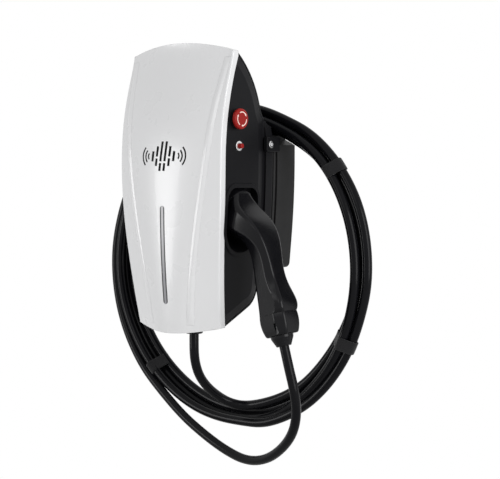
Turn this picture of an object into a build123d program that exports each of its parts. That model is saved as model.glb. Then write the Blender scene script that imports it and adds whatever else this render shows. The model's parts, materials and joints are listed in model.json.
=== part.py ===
# EV wallbox with a tethered charging cable and a connector docked in its right side.
# Millimetres. +X right as seen from the front, +Y into the wall, +Z up.
# The origin is the centre of the four wall screws, on the wall plane.

import math
import os

from build123d import *

# Body outline, seen from the front
half_width = 98.0
taper_start_z = 30.0
taper_blend_radius = 1200.0
taper_angle = 5.7
roof_axis_z = -143.0
roof_radius = 338.0
foot_axis_z = 92.0
foot_radius = 316.5
wall = 3.0
seam = 0.3

# Body depth: the rim between cover and housing, seen from the side
belly_y = -159.0
belly_z = 20.0
rim_upper_radius = 434.0
rim_lower_radius = 1378.0
rim_top_y = -131.0
rim_depth = 10.5
housing_rear_y = -69.0
roof_shoulder = (-101.0, 29.0)
roof_waist = (-77.5, 76.5)
roof_rear_drop = 100.5
foot_rim_y = -139.0
foot_angle = 26.0
foot_rear_fillet = 30.0
bevel_side = 17.0
bevel_in = 4.0
rear_shell_y = -50.8
rear_edge_radius = 4.0
shell_inset = 0.4

# Front cover
crease_foot = 39.0
crease_flare = 0.10
crease_shoulder = 13.5
crease_shoulder_run = 260.0
crease_rise = 15.5
crease_top_z = 150.0
crease_foot_z = -200.0
crown = 8.5
cover_edge_radius = 2.5
cover_stations = 10
section_overshoot = 12.0
post_radius = 5.0
upper_post = (15.0, 77.0)
lower_post = (19.5, 46.5)
screw_radius = 1.5
screw_clearance = 0.2
screw_head_radius = 2.8
screw_head_height = 2.4
flange_width = 13.0
gasket_width = 3.0
gasket_height = 2.2

# Light bar
bar_width = 8.7
bar_length = 142.0
bar_above_foot = 113.5
bar_fit = 0.15
bar_depth = 7.0
bar_flange = 3.0
board_thickness = 1.6
reader_z = 32.0
reader_board_width = 84.0
reader_board_height = 62.0
light_board_width = 16.0
board_corner = 3.0
reader_post_radius = 2.6
reader_post_inset = 5.0
reader_gap = 9.0

# Wall bracket, hanger plate and cable saddle
cable_radius = 7.0
coil_axis_z = -133.0
coil_inner_radius = 212.0
coil_strands = [(20.0, -34.0), (31.0, -27.0), (20.5, -20.0), (7.0, -18.0)]
saddle_thickness = 6.0
saddle_lip = 13.0
saddle_lip_thickness = 2.6
saddle_half_angle = 22.5
soft_gap = 0.3
bracket_inset = 1.5
bracket_front_y = -41.0
bracket_foot_z = -135.0
bracket_corner_radius = 9.0
bracket_wall = 2.5
neck_inset = 9.0
neck_thickness = 6.0
plate_ring_width = 25.0
plate_front_y = -50.5
plate_thickness = 4.5
plate_inset = 1.0
bolt_spacing_x = 110.0
bolt_spacing_z = 100.0
bolt_hole_radius = 3.5
supply_hole_radius = 16.0
supply_z = -95.0

# Side latches
latch_length = 30.0
latch_height = 21.0
latch_thickness = 6.0
latch_y = -58.6
latch_below_roof = 146.3
latch_screw_y = -65.6
latch_screw_radius = 5.0
latch_screw_proud = 2.0
latch_socket_radius = 2.9
latch_floor = 2.0
latch_corner = 2.0
latch_chamfer = 1.0

# Emergency stop, axis along X
stop_y = -135.0
stop_z = 83.7
stop_neck_radius = 11.0
stop_bezel_radius = 13.0
stop_bezel_height = 1.0
stop_neck_length = 18.0
stop_shaft_radius = 7.0
stop_tip_radius = 5.0
stop_head_radius = 14.8
stop_head_height = 5.0
stop_head_edge = 2.6
stop_head_cap = 1.8
stop_nut_radius = 15.0
stop_travel = 4.0
stop_block = (28.0, 30.0, 30.0)
nut_thickness = 3.3
running_gap = 0.3

# Push button, axis along X
button_y = -130.5
button_z = 45.6
button_bezel_radius = 7.1
button_bezel_height = 2.0
button_neck_radius = 6.0
button_neck_length = 14.0
button_cap_radius = 3.7
button_nut_radius = 9.5
button_proud = 5.5
button_travel = 2.5
button_switch_size = (10.0, 12.0, 12.0)

# Dock in the right side: its local axis leaves the wall and points down
dock_y = -120.0
dock_x = 98.0
dock_z = -51.5
dock_angle = 35.0
mouth_width = 66.0
mouth_height = 80.0
mouth_drop = 9.0
mouth_top_radius = 16.0
mouth_depth = 30.0
dock_wall = 2.5
flange_overlap = 2.4
flange_proud = 1.5
nose_radius = 28.0
nose_length = 56.0
nose_wall = 4.0
nose_hollow = 34.0
nose_fit = 0.3
nose_end = 6.0

# Connector: stations of the handle's centre line in the XZ plane, from the dock to the tail:
# X, Z and slope below the horizontal, then its six-cornered section: height and half width of the
# top corners, of the side ridges and of the bottom corners, and the rounding above and below
handle_stations = [
    (83.0, -43.0, 35.0, (27.0, 17.0), (0.0, 28.0), (-27.0, 17.0), (12.0, 12.0)),
    (104.0, -60.0, 42.0, (18.0, 27.0), (-13.0, 29.0), (-28.0, 14.0), (6.0, 9.0)),
    (120.0, -75.0, 51.0, (18.5, 25.0), (-5.0, 27.0), (-21.0, 13.0), (4.0, 9.0)),
    (135.0, -97.0, 62.0, (17.5, 20.0), (5.0, 23.5), (-19.0, 13.0), (4.0, 9.0)),
    (143.0, -125.0, 71.0, (17.5, 14.0), (9.0, 21.0), (-19.0, 13.0), (4.0, 9.0)),
    (150.0, -152.0, 74.0, (20.0, 14.0), (10.0, 20.5), (-21.5, 13.0), (4.0, 9.0)),
    (160.4, -191.0, 74.6, (24.0, 16.0), (10.0, 22.0), (-25.0, 14.0), (5.0, 9.0)),
]
nose_root = 16.5
tail_slope = 74.6
tail_length = 31.0
tail_belly_scale = 1.02
tail_end_scale = 0.86
tail_edge_radius = 4.0
tail_slot_width = 4.5
tail_slot_height = 9.0
tail_slot_length = 17.0
tail_slot_depth = 3.0
gun_nut_length = 15.0
gun_nut_top_radius = 16.5
gun_nut_end_radius = 10.5
pin_circle_radius = 8.4
pin_radius = 3.0
small_pin_radius = 1.5
pin_length = 18.0
contact_recess = 6.0
contact_collar = 1.4

# Charging cable: the lead from the gland to the coil, and the free loop from coil to connector
lead_x = 0.0
lead_y = -117.0
gland_collar = 9.0
gland_nut_height = 6.5
gland_flange_radius = 15.0
gland_neck_radius = 12.0
gland_inside = 16.0
lead_points = [
    (0.3, -117.8, -247.0),
    (0.0, -116.0, -269.0),
    (0.0, -107.5, -291.0),
    (0.0, -91.0, -309.5),
    (2.0, -70.0, -325.5),
    (11.0, -51.0, -338.5),
    (27.0, -37.0, -347.5),
]
drop_straight = 76.0
drop_points = [
    (188.5, -117.0, -297.0),
    (187.0, -109.0, -330.0),
    (172.0, -98.0, -361.0),
    (143.0, -86.5, -388.5),
    (104.0, -76.0, -411.0),
    (58.0, -66.0, -419.5),
    (8.0, -57.0, -410.0),
    (-42.0, -51.0, -391.0),
    (-90.0, -46.0, -367.5),
    (-128.0, -42.0, -341.5),
]
tie_angles = [-134.0, 37.0, -26.0]
tie_width = 19.0
tie_thickness = 1.6
clamp_start = 2.0

# Equipment inside
equipment_below_roof = 111.0
equipment_above_foot = 82.0
rail_height = 7.5
rail_width = 35.0
rail_length = 130.0
rail_x = -12.0
rail_foot = 25.0
sensor_hole_radius = 11.0
earth_bar_size = (70.0, 10.0, 8.0)
earth_bar_holes = 6
# Devices on each rail from the left: name, width, depth and how far their middle stands out
rail_devices = [
    [
        ("contactor", 36.0, 60.0, 16.0),
        ("energy_meter", 36.0, 60.0, 16.0),
        ("terminal_block", 30.0, 46.0, 10.0),
    ],
    [
        ("power_supply", 52.0, 56.0, 14.0),
        ("leakage_sensor", 38.0, 30.0, 6.0),
    ],
]
rail_wall = 1.2
rail_margin = 9.0
device_gap = 2.5
device_corner = 1.0
earth_bar_above_foot = 50.6
lower_plate_screw = (19.0, 52.6)
upper_plate_screw = (12.0, 145.0)
plate_screw_head = (4.5, 3.0)
grommet_lip = 3.0
grommet_membrane = 1.0
control_x = -16.5
control_foot_z = -10.0
control_below_roof = 118.0
control_y = -135.0
control_width = 131.0
board_screw_inset = 6.0
column_radius = 3.2


def on_x(x, y, z):
    """A plane facing +X, with its own x along Y and its own y along Z."""
    return Plane(origin=(x, y, z), x_dir=(0, 1, 0), z_dir=(1, 0, 0))


def on_y(y, x=0.0, z=0.0):
    """A plane facing the front, with its own x along X and its own y along Z."""
    return Plane(origin=(x, y, z), x_dir=(1, 0, 0), z_dir=(0, -1, 0))


def rod(plane, radius, length, start=0.0):
    """A cylinder along a plane's normal, from start to start + length."""
    return plane.offset(start) * Cylinder(radius, length, align=(Align.CENTER, Align.CENTER, Align.MIN))


def block(plane, size_x, size_y, height, start=0.0):
    """A box along a plane's normal, centred on its origin."""
    return plane.offset(start) * Box(size_x, size_y, height, align=(Align.CENTER, Align.CENTER, Align.MIN))


def width_at(z):
    """Half of the body's width at a height: straight above, then blended into a taper."""
    drop = taper_start_z - z
    if drop <= 0:
        return half_width
    blend = taper_blend_radius * math.sin(math.radians(taper_angle))
    if drop <= blend:
        return half_width - taper_blend_radius + math.sqrt(taper_blend_radius**2 - drop**2)
    start = half_width - taper_blend_radius * (1 - math.cos(math.radians(taper_angle)))
    return start - (drop - blend) * math.tan(math.radians(taper_angle))


def rim_at(z):
    """Depth of the rim between cover and housing at a height."""
    radius = rim_upper_radius if z > belly_z else rim_lower_radius
    y = belly_y + radius - math.sqrt(radius**2 - (z - belly_z) ** 2)
    return min(y, rim_top_y) if z > belly_z else y


def front_outline(inset):
    """The body's sides as a tall face, which the roof and foot then cut to height."""
    angle = math.radians(taper_angle)
    top = roof_axis_z + roof_radius + 60
    low = foot_axis_z - foot_radius - 60
    width = half_width - inset
    start = (width, taper_start_z)
    middle = (
        width - taper_blend_radius * (1 - math.cos(angle / 2)),
        taper_start_z - taper_blend_radius * math.sin(angle / 2),
    )
    end_z = taper_start_z - taper_blend_radius * math.sin(angle)
    end = (width - taper_blend_radius * (1 - math.cos(angle)), end_z)
    foot = (end[0] - (end_z - low) * math.tan(angle), low)
    side = Line((width, top), start) + ThreePointArc(start, middle, end) + Line(end, foot)
    other = mirror(side, about=Plane.YZ)
    return make_face(side + other + Line((width, top), (-width, top)) + Line(foot, (-foot[0], low)))


def turned(axis_z, profile, sign):
    """A solid turned about an axis through the body from front to back, from a (Y, radius) line."""
    plane = Plane(origin=(0, 0, axis_z), x_dir=(0, 1, 0), z_dir=(sign, 0, 0))
    start = profile[0] @ 0
    end = profile[-1] @ 1
    closing = [Line(end, (end.X, 0)), Line((end.X, 0), (start.X, 0)), Line((start.X, 0), start)]
    face = make_face(Curve() + profile + closing)
    return revolve(plane * face, axis=Axis((0, 0, axis_z), (0, 1, 0)), revolution_arc=360)


front_limit = belly_y - 60
rear_limit = rear_shell_y + 20


def roof_form(inset):
    """Everything below the roof: a drum at the cover, swept down behind the rim, then flared back."""
    rim = (rim_top_y, roof_radius - inset)
    shoulder = (roof_shoulder[0] - 0.6 * inset, roof_radius - roof_shoulder[1] - 0.8 * inset)
    waist = (roof_waist[0] - 0.9 * inset, roof_radius - roof_waist[1] - 0.5 * inset)
    rear = (rear_shell_y, roof_radius - roof_rear_drop - inset)
    sweep_back = ThreePointArc(rim, shoulder, waist)
    flare = TangentArc(waist, rear, tangent=sweep_back % 1)
    drum = Line((front_limit, rim[1]), rim)
    return turned(roof_axis_z, [drum, sweep_back, flare, Line(rear, (rear_limit, rear[1]))], 1)


def foot_form(inset):
    """Everything above the foot: a drum at the cover, then a straight slope up to the rear."""
    rim = (foot_rim_y, foot_radius - inset)
    corner = (housing_rear_y, foot_corner_radius() - inset)
    low = (housing_rear_y, rear_foot_radius() - inset)
    slope = FilletPolyline(rim, corner, low, radius=foot_fillet())
    drum = Line((front_limit, rim[1]), rim)
    return turned(foot_axis_z, [drum, slope, Line(low, (rear_limit, low[1]))], -1)


def foot_corner_radius():
    """Radius at which the foot's slope would meet the rear, if that corner weren't rounded."""
    run = housing_rear_y - foot_rim_y
    return foot_radius - run * math.tan(math.radians(foot_angle))


def foot_fillet():
    """The rounding at the rear of the foot, limited by the length of the slope."""
    run = (housing_rear_y - foot_rim_y) / math.cos(math.radians(foot_angle))
    longest = 0.8 * run / math.tan(math.radians(90 - foot_angle) / 2)
    return min(foot_rear_fillet, longest)


def rear_foot_radius():
    """Radius of the rear shell's foot, just past the rounding."""
    return foot_corner_radius() - foot_fillet() * math.tan(math.radians(90 - foot_angle) / 2) - 1.0


def rear_foot_z():
    return foot_axis_z - rear_foot_radius()


def roof_top():
    return roof_axis_z + roof_radius


def post_places():
    """Centres of the cover's screw posts on the right half: one near the roof, one near the foot."""
    high = roof_top() - upper_post[1]
    low = foot_axis_z - foot_radius + lower_post[1]
    return [(width_at(high) - upper_post[0], high), (width_at(low) - lower_post[0], low)]


def body_form(inset, front_y, rear_y):
    """The body's outer form, drawn in by an inset, between two depths."""
    sides = extrude(on_y(rear_y) * front_outline(inset), amount=rear_y - front_y)
    return sides & roof_form(inset) & foot_form(inset)


def ahead_of_rim(shift):
    """Everything in front of the rim curve, moved back by a shift."""
    high = roof_axis_z + roof_radius + 40
    low = foot_axis_z - foot_radius - 40
    top_rise = rim_upper_radius - (rim_top_y - belly_y)
    top_angle = math.acos(top_rise / rim_upper_radius)
    low_angle = math.asin((belly_z - low) / rim_lower_radius)

    def point(radius, angle):
        return (belly_y + shift + radius * (1 - math.cos(angle)), belly_z + radius * math.sin(angle))

    top = point(rim_upper_radius, top_angle)
    foot = point(rim_lower_radius, -low_angle)
    belly = point(rim_upper_radius, 0)
    edges = [
        Line((front_limit, high), (top[0], high)),
        Line((top[0], high), top),
        ThreePointArc(top, point(rim_upper_radius, top_angle / 2), belly),
        ThreePointArc(belly, point(rim_lower_radius, -low_angle / 2), foot),
        Line(foot, (front_limit, low)),
        Line((front_limit, low), (front_limit, high)),
    ]
    face = make_face(Plane.YZ * (Curve() + edges))
    return extrude(face, amount=2 * half_width, both=True)


def crease_at(z):
    """Half of the distance between the two creases at a height."""
    run = z - crease_foot_z
    t = min(max(run / crease_shoulder_run, 0.0), 1.0)
    return crease_foot + crease_flare * run + crease_shoulder * (3 * t**2 - 2 * t**3)


def cover_section(z, inset):
    """The front face of the cover at a height: flat, crease, crown, crease, flat."""
    edge_y = rim_at(z) - rim_depth + inset
    rise = crease_rise * max(crease_top_z - z, 0.0) / (crease_top_z - crease_foot_z) + 0.4
    crease_x = crease_at(z)
    crease_y = edge_y - rise
    edge_x = width_at(z)
    slope = rise / (edge_x - crease_x)
    out_x = edge_x + section_overshoot
    out_y = crease_y + slope * (out_x - crease_x)
    back_y = rim_top_y + 40
    edges = [
        Line((-out_x, back_y), (-out_x, out_y)),
        Line((-out_x, out_y), (-crease_x, crease_y)),
        ThreePointArc((-crease_x, crease_y), (0, crease_y - crown), (crease_x, crease_y)),
        Line((crease_x, crease_y), (out_x, out_y)),
        Line((out_x, out_y), (out_x, back_y)),
        Line((out_x, back_y), (-out_x, back_y)),
    ]
    return make_face(Plane.XY.offset(z) * (Curve() + edges))


def cover_block(inset):
    """The cover's solid form in front of the rim, drawn in by an inset."""
    high = roof_axis_z + roof_radius + 8
    low = foot_axis_z - foot_radius - 8
    step = (high - low) / (cover_stations - 1)
    sections = [cover_section(low + step * i, inset) for i in range(cover_stations)]
    front = loft(sections)
    return front & body_form(inset, front_limit, rim_top_y + 30)


def bar_centre_z():
    return foot_axis_z - foot_radius + bar_above_foot


def light_slot(width, length, front_y, rear_y):
    """A long hole with round ends through the cover."""
    face = on_y(rear_y, 0, bar_centre_z()) * SlotOverall(length, width, rotation=90)
    return extrude(face, amount=rear_y - front_y)


def make_cover():
    outer = cover_block(0)
    front_edges = outer.edges().filter_by(lambda e: e.length > 20).filter_by(
        lambda e: abs(abs(e.center().X) - width_at(e.center().Z)) < 0.8 and e.bounding_box().size.Z > 20
    )
    front_edges = front_edges.filter_by(lambda e: e.center().Y < rim_at(e.center().Z) - 0.5 * rim_depth)
    outer = fillet(front_edges, cover_edge_radius)
    cover = (outer & ahead_of_rim(0)) - (cover_block(wall) & ahead_of_rim(40))
    cover -= light_slot(bar_width, bar_length, front_limit, rim_top_y)
    inside = cover_block(0.6 * wall)
    ahead = ahead_of_rim(0)
    for x, z in post_places():
        for side in (-1, 1):
            plane = on_y(rim_at(z) + wall, side * x, z)
            post = rod(plane, post_radius, 60) & inside & ahead
            bore = rod(plane, screw_radius, rim_depth, wall - 1)
            cover = cover + post - bore
    for x, z in reader_posts():
        cover += rod(on_y(reader_level(), x, z), reader_post_radius, 40) & inside
    return cover


def reader_posts():
    """Centres of the four posts behind the cover that carry the card reader board."""
    x = reader_board_width / 2 - reader_post_inset
    z = reader_board_height / 2 - reader_post_inset
    return [(side * x, reader_z + high * z) for side in (-1, 1) for high in (-1, 1)]


def reader_level():
    """Depth of the card reader board's front."""
    return cover_centre(reader_z) + wall + reader_gap


def make_light_bar():
    """A clear bar that fills the slot flush, with a flange behind the cover's wall."""
    level = light_level()
    bar = cover_block(0) & light_slot(bar_width - 2 * bar_fit, bar_length - 2 * bar_fit, front_limit, level)
    under = cover_block(wall + 0.1) - cover_block(wall + 2.1)
    flange = under & light_slot(bar_width + 2 * bar_flange, bar_length + 2 * bar_flange, front_limit, level)
    return bar + flange


def light_level():
    """Depth of the light bar's flat back, where its board lies."""
    return cover_centre(bar_centre_z() - bar_length / 2) + bar_depth


def make_housing():
    plain = body_form(0, front_limit, housing_rear_y)
    outer = plain
    for side in (-1, 1):
        for upper in (True, False):
            outer = outer & bevel(plain, side, upper)
    outer -= ahead_of_rim(seam)
    inner = body_form(wall, front_limit, housing_rear_y)
    frame_hole = body_form(flange_width, front_limit, housing_rear_y)
    behind_flange = inner - ahead_of_rim(seam + wall)
    housing = outer - behind_flange - (frame_hole & ahead_of_rim(seam + wall + 1))
    housing -= dock_prism(dock_wall + 0.25, -mouth_depth - 12)
    inside_wall = half_width - 2 * wall
    housing -= rod(on_x(inside_wall, stop_y, stop_z), stop_neck_radius + running_gap, 3 * wall)
    housing -= rod(on_x(inside_wall, button_y, button_z), button_neck_radius + running_gap, 3 * wall)
    gland_hole = Plane(origin=(lead_x, lead_y, foot_level() - 2 * gland_collar))
    housing -= rod(gland_hole, gland_neck_radius + running_gap, 5 * gland_collar)
    for x, z in post_places():
        for side in (-1, 1):
            spot = on_y(rim_at(z) + 4 * wall, side * x, z)
            housing -= rod(spot, screw_radius + screw_clearance, 5 * wall)
    return housing


def bevel(solid, side, upper):
    """Chamfer the edges where one side meets the roof or the foot."""
    def near(face):
        box = face.bounding_box()
        normal = face.normal_at(face.center())
        reaches = box.max.Z > taper_start_z + 20 if upper else box.min.Z < rear_foot_z() - 20
        return side * normal.X > 0.985 and reaches

    faces = solid.faces().filter_by(near)
    face = faces.sort_by(Axis.Z)[-1 if upper else 0]
    limit = taper_start_z + 5 if upper else bracket_foot_z - 5

    def slanted(edge):
        spot = edge.center()
        beyond = spot.Z > limit and spot.Y > rim_top_y if upper else spot.Z < limit
        return beyond and edge.bounding_box().size.Y > 1

    edges = face.edges().filter_by(slanted)
    return solid.solid().chamfer(bevel_side, bevel_in, edges, face)


def make_rear_shell():
    """The shell that closes the housing towards the wall, bevelled on top like the housing."""
    front_y = housing_rear_y + seam
    plain = body_form(shell_inset, front_y, rear_shell_y)
    outer = bevel(plain, -1, True) & bevel(plain, 1, True)
    back = outer.faces().sort_by(Axis.Y)[-1]
    outer = fillet(back.edges(), rear_edge_radius)
    inner = body_form(shell_inset + wall, front_y - 1, rear_shell_y - wall)
    shell = outer - inner
    return shell - rod(on_y(rear_shell_y + 1, 0, supply_z), supply_hole_radius + 4, wall + 2)


def bracket_outline(inset, foot_z, top_radius):
    """The wall bracket from the front: body sides, an arc on top that carries the coil."""
    tall = front_outline(inset)
    width = half_width
    band = Pos(0, (foot_z + 200) / 2 + inset / 2) * Rectangle(2 * width, 200 - foot_z - inset)
    disc = Pos(0, coil_axis_z) * Circle(top_radius)
    return tall & band & disc


def make_wall_bracket():
    """A deep tray: back plate on the wall, cheeks at the sides, and a neck for the hanger plate."""
    top = coil_inner_radius - soft_gap - saddle_thickness
    shape = bracket_outline(bracket_inset, bracket_foot_z, top)
    low = shape.vertices().sort_by(Axis.Y)[:2]
    shape = fillet(low, bracket_corner_radius)
    neck_outer = offset(shape, amount=-neck_inset)
    neck_inner = offset(shape, amount=-neck_inset - neck_thickness)
    rim_plane = on_y(bracket_front_y + bracket_wall)
    tray = extrude(on_y(0) * shape, amount=-bracket_front_y)
    tray -= extrude(on_y(-bracket_wall) * offset(shape, amount=-bracket_wall), amount=-bracket_front_y)
    rim = extrude(rim_plane * (shape - neck_inner), amount=bracket_wall)
    neck = extrude(on_y(bracket_front_y) * (neck_outer - neck_inner), amount=plate_gap())
    bracket = tray + rim + neck
    for x, z in bolt_places():
        bracket -= rod(on_y(1, x, z), bolt_hole_radius, bracket_wall + 2)
    bracket -= rod(on_y(1, 0, supply_z), supply_hole_radius, bracket_wall + 2)
    return bracket


def plate_gap():
    """Length of the neck between the bracket's front and the hanger plate."""
    return bracket_front_y - (plate_front_y + plate_thickness)


def bolt_places():
    x = bolt_spacing_x / 2
    z = bolt_spacing_z / 2
    return [(-x, -z), (x, -z), (-x, z), (x, z)]


def make_hanger_plate():
    """The plate that the rear shell hooks on to, flush with the body's sides."""
    top = coil_inner_radius - soft_gap - saddle_thickness
    shape = bracket_outline(plate_inset, bracket_foot_z - 2, top)
    shape = fillet(shape.vertices().sort_by(Axis.Y)[:2], bracket_corner_radius)
    hole = offset(shape, amount=-plate_ring_width)
    return extrude(on_y(plate_front_y + plate_thickness) * (shape - hole), amount=plate_thickness)


def bundle_section(grow):
    """The coil's section in the YZ plane: a skin stretched over its strands."""
    centre = coil_axis_z + coil_inner_radius
    circles = [Pos(y, centre + rise) * Circle(cable_radius + grow) for rise, y in coil_strands]
    hull = make_hull([circle.edge() for circle in circles])
    return Plane.YZ * hull


def coil_axis():
    return Axis((0, 0, coil_axis_z), (0, 1, 0))


def make_saddle():
    """A curved shelf on top of the bracket with a low lip at each side of the coil."""
    top = coil_inner_radius - soft_gap
    inner = top - saddle_thickness
    rear = -soft_gap
    front = bracket_front_y - soft_gap - 1
    high = top + saddle_lip
    base = [(bracket_front_y, inner), (rear, inner), (rear, high), (rear - saddle_lip_thickness, high)]
    base += [(rear - saddle_lip_thickness, top), (front, top), (front, high)]
    base += [(front - saddle_lip_thickness, high), (front - saddle_lip_thickness, inner)]
    outline = Polyline([(y, coil_axis_z + r) for y, r in base], close=True)
    face = make_face(Plane.YZ * outline)
    half = revolve(face, axis=coil_axis(), revolution_arc=saddle_half_angle)
    other = revolve(face, axis=coil_axis(), revolution_arc=-saddle_half_angle)
    return half + other


def latch_plane(side, y):
    """A plane on a side wall at the latch's height, facing outwards."""
    origin = (side * half_width, y, roof_top() - latch_below_roof)
    return Plane(origin=origin, x_dir=(0, side, 0), z_dir=(side, 0, 0))


def make_latches():
    """One block on each side that ties the housing to the hanger plate."""
    blocks = []
    for side in (-1, 1):
        body = block(latch_plane(side, latch_y), latch_length, latch_height, latch_thickness)
        body = fillet(body.edges().filter_by(Axis.X), latch_corner)
        front = body.faces().sort_by(Axis.X)[-1 if side > 0 else 0]
        body = chamfer(front.edges(), latch_chamfer)
        seat = rod(latch_plane(side, latch_screw_y), latch_screw_radius + 0.2, latch_thickness, latch_floor)
        blocks.append(body - seat)
    return blocks


def make_latch_screws():
    """Cap screws with a hexagon socket, sunk in the latch blocks."""
    screws = []
    for side in (-1, 1):
        plane = latch_plane(side, latch_screw_y)
        length = latch_thickness - latch_floor + latch_screw_proud
        head = rod(plane, latch_screw_radius, length, latch_floor)
        rim_face = head.faces().sort_by(Axis.X)[-1 if side > 0 else 0]
        head = chamfer(rim_face.edges(), 0.6)
        socket = RegularPolygon(latch_socket_radius, 6)
        screws.append(head - extrude(plane.offset(latch_thickness - 1) * socket, amount=length))
    return screws


def make_stop():
    """The emergency stop: collar, lock nut, stem, head and contact block."""
    face = on_x(half_width, stop_y, stop_z)
    collar = rod(face, stop_bezel_radius, stop_bezel_height)
    collar += rod(face, stop_neck_radius, stop_neck_length, -stop_neck_length)
    collar = chamfer(collar.faces().sort_by(Axis.X)[-1].outer_wire().edges(), 0.4 * stop_bezel_height)
    collar -= rod(face, stop_shaft_radius + running_gap, 2 * stop_neck_length, -1.5 * stop_neck_length)
    nut_start = -wall - soft_gap - nut_thickness
    nut = face.offset(nut_start) * extrude(RegularPolygon(stop_nut_radius, 6), amount=nut_thickness)
    nut -= rod(face, stop_neck_radius + 0.1, 3 * nut_thickness, nut_start - nut_thickness)
    stem_start = stop_travel + running_gap - stop_neck_length
    head_start = stop_bezel_height + running_gap + stop_travel
    tip_length = stop_head_height - stop_head_cap
    stem = rod(face, stop_shaft_radius, head_start - running_gap - stem_start, stem_start)
    stem += rod(face, stop_tip_radius, tip_length + running_gap, head_start - running_gap)
    head = rod(face, stop_head_radius, stop_head_height, head_start)
    head = fillet(head.faces().sort_by(Axis.X)[-1].edges(), stop_head_edge)
    head -= rod(face, stop_tip_radius + running_gap, tip_length + running_gap, head_start)
    depth, width, height = stop_block
    block_start = -stop_neck_length - soft_gap - depth
    contacts = block(face, width, height, depth, block_start)
    contacts = fillet(contacts.edges().filter_by(Axis.X), 2.0)
    for z in (-0.27 * height, 0.27 * height):
        contacts -= rod(on_x(half_width, stop_y, stop_z + z), 3.0, 6.0, block_start - 1)
    return collar, nut, stem, head, contacts


def make_button():
    """The small push button: bright collar, nut, red cap and its switch."""
    face = on_x(half_width, button_y, button_z)
    collar = rod(face, button_bezel_radius, button_bezel_height)
    collar += rod(face, button_neck_radius, button_neck_length, -button_neck_length)
    collar = chamfer(collar.faces().sort_by(Axis.X)[-1].outer_wire().edges(), 0.3 * button_bezel_height)
    collar -= rod(face, button_cap_radius + running_gap, 2 * button_neck_length, -1.5 * button_neck_length)
    nut_start = -wall - soft_gap - nut_thickness
    nut = face.offset(nut_start) * extrude(RegularPolygon(button_nut_radius, 6), amount=nut_thickness)
    nut -= rod(face, button_neck_radius + 0.1, 3 * nut_thickness, nut_start - nut_thickness)
    cap_start = -button_neck_length + button_travel + running_gap
    cap = rod(face, button_cap_radius, button_bezel_height + button_proud - cap_start, cap_start)
    cap = fillet(cap.faces().sort_by(Axis.X)[-1].edges(), 0.4 * button_cap_radius)
    depth, width, height = button_switch_size
    switch = block(face, width, height, depth, -button_neck_length - soft_gap - depth)
    switch = chamfer(switch.edges().filter_by(Axis.X), 1.0)
    return collar, nut, cap, switch


def dock_plane():
    """Origin where the nose axis leaves the side wall; x across the wall, y upwards, z outwards."""
    angle = math.radians(dock_angle)
    return Plane(
        origin=(dock_x, dock_y, dock_z), x_dir=(0, 1, 0), z_dir=(math.cos(angle), 0, -math.sin(angle))
    )


def mouth_shape(grow):
    """The dock's mouth: flat on top, round at the foot."""
    width = mouth_width + 2 * grow
    height = mouth_height + 2 * grow
    shape = Pos(0, -mouth_drop) * Rectangle(width, height)
    ends = shape.vertices().sort_by(Axis.Y)
    shape = fillet(ends[:2], 0.46 * width)
    top = shape.vertices().sort_by(Axis.Y)[-2:]
    return fillet(top, mouth_top_radius + grow)


def dock_prism(grow, start=-mouth_depth, end=60.0):
    plane = dock_plane()
    return extrude(plane.offset(start) * mouth_shape(grow), amount=end - start)


def side_slab(rear_y, proud):
    """Everything inside the body's side walls, or proud of them, from a depth to the front."""
    return extrude(on_y(rear_y) * front_outline(-proud), amount=rear_y - front_limit)


def make_dock():
    """The dock moulding: a flange on the side wall, a sloping pocket and a bore for the nose."""
    rear_y = housing_rear_y - 2
    right = Pos(half_width, 0, 0) * Box(0.6 * half_width, 6 * half_width, 6 * half_width)
    flange = (side_slab(rear_y, flange_proud) - side_slab(rear_y + 1, 0.05)) & right
    flange = flange & dock_prism(dock_wall + flange_overlap)
    sleeve = dock_prism(dock_wall) & side_slab(rear_y, 0.1)
    floor = dock_prism(dock_wall, -mouth_depth - dock_wall, -mouth_depth)
    plane = dock_plane()
    bore = nose_radius + nose_fit
    tube_length = nose_length - mouth_depth - nose_end
    tube = rod(plane, bore + dock_wall, tube_length, -mouth_depth - tube_length)
    dock = flange + sleeve + floor + tube - dock_prism(0)
    return dock - rod(plane, bore, nose_length, -nose_length - nose_end)


def handle_section(station, scale=1.0):
    """The handle's six-cornered section: top corners, side ridges and bottom corners, all rounded."""
    corners = [(scale * half, scale * height) for height, half in station[3:6]]
    corners += [(-half, height) for half, height in reversed(corners)]
    ridge, under = station[6]
    rounding = [ridge, ridge, under, under, ridge, ridge]
    return make_face(FilletPolyline(*corners, radius=rounding, close=True))


def station_face(station):
    x, z, slope = station[:3]
    angle = math.radians(slope)
    plane = Plane(origin=(x, dock_y, z), x_dir=(0, 1, 0), z_dir=(math.cos(angle), 0, -math.sin(angle)))
    return plane * handle_section(station)


def tail_plane(distance=0.0):
    """A plane across the handle, at a distance past the last station."""
    x, z = handle_stations[-1][:2]
    angle = math.radians(tail_slope)
    ahead = (math.cos(angle), 0, -math.sin(angle))
    origin = (x + distance * ahead[0], dock_y, z + distance * ahead[2])
    return Plane(origin=origin, x_dir=(0, 1, 0), z_dir=ahead)


def make_gun_shell():
    """The connector's handle, lofted from the dock to the tail, with the hollow nose in front."""
    handle = loft([station_face(station) for station in handle_stations])
    plane = dock_plane()
    nose = rod(plane, nose_radius, nose_length - nose_root, -nose_length)
    return handle + nose - rod(plane, nose_radius - nose_wall, nose_hollow, -nose_length)


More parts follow.
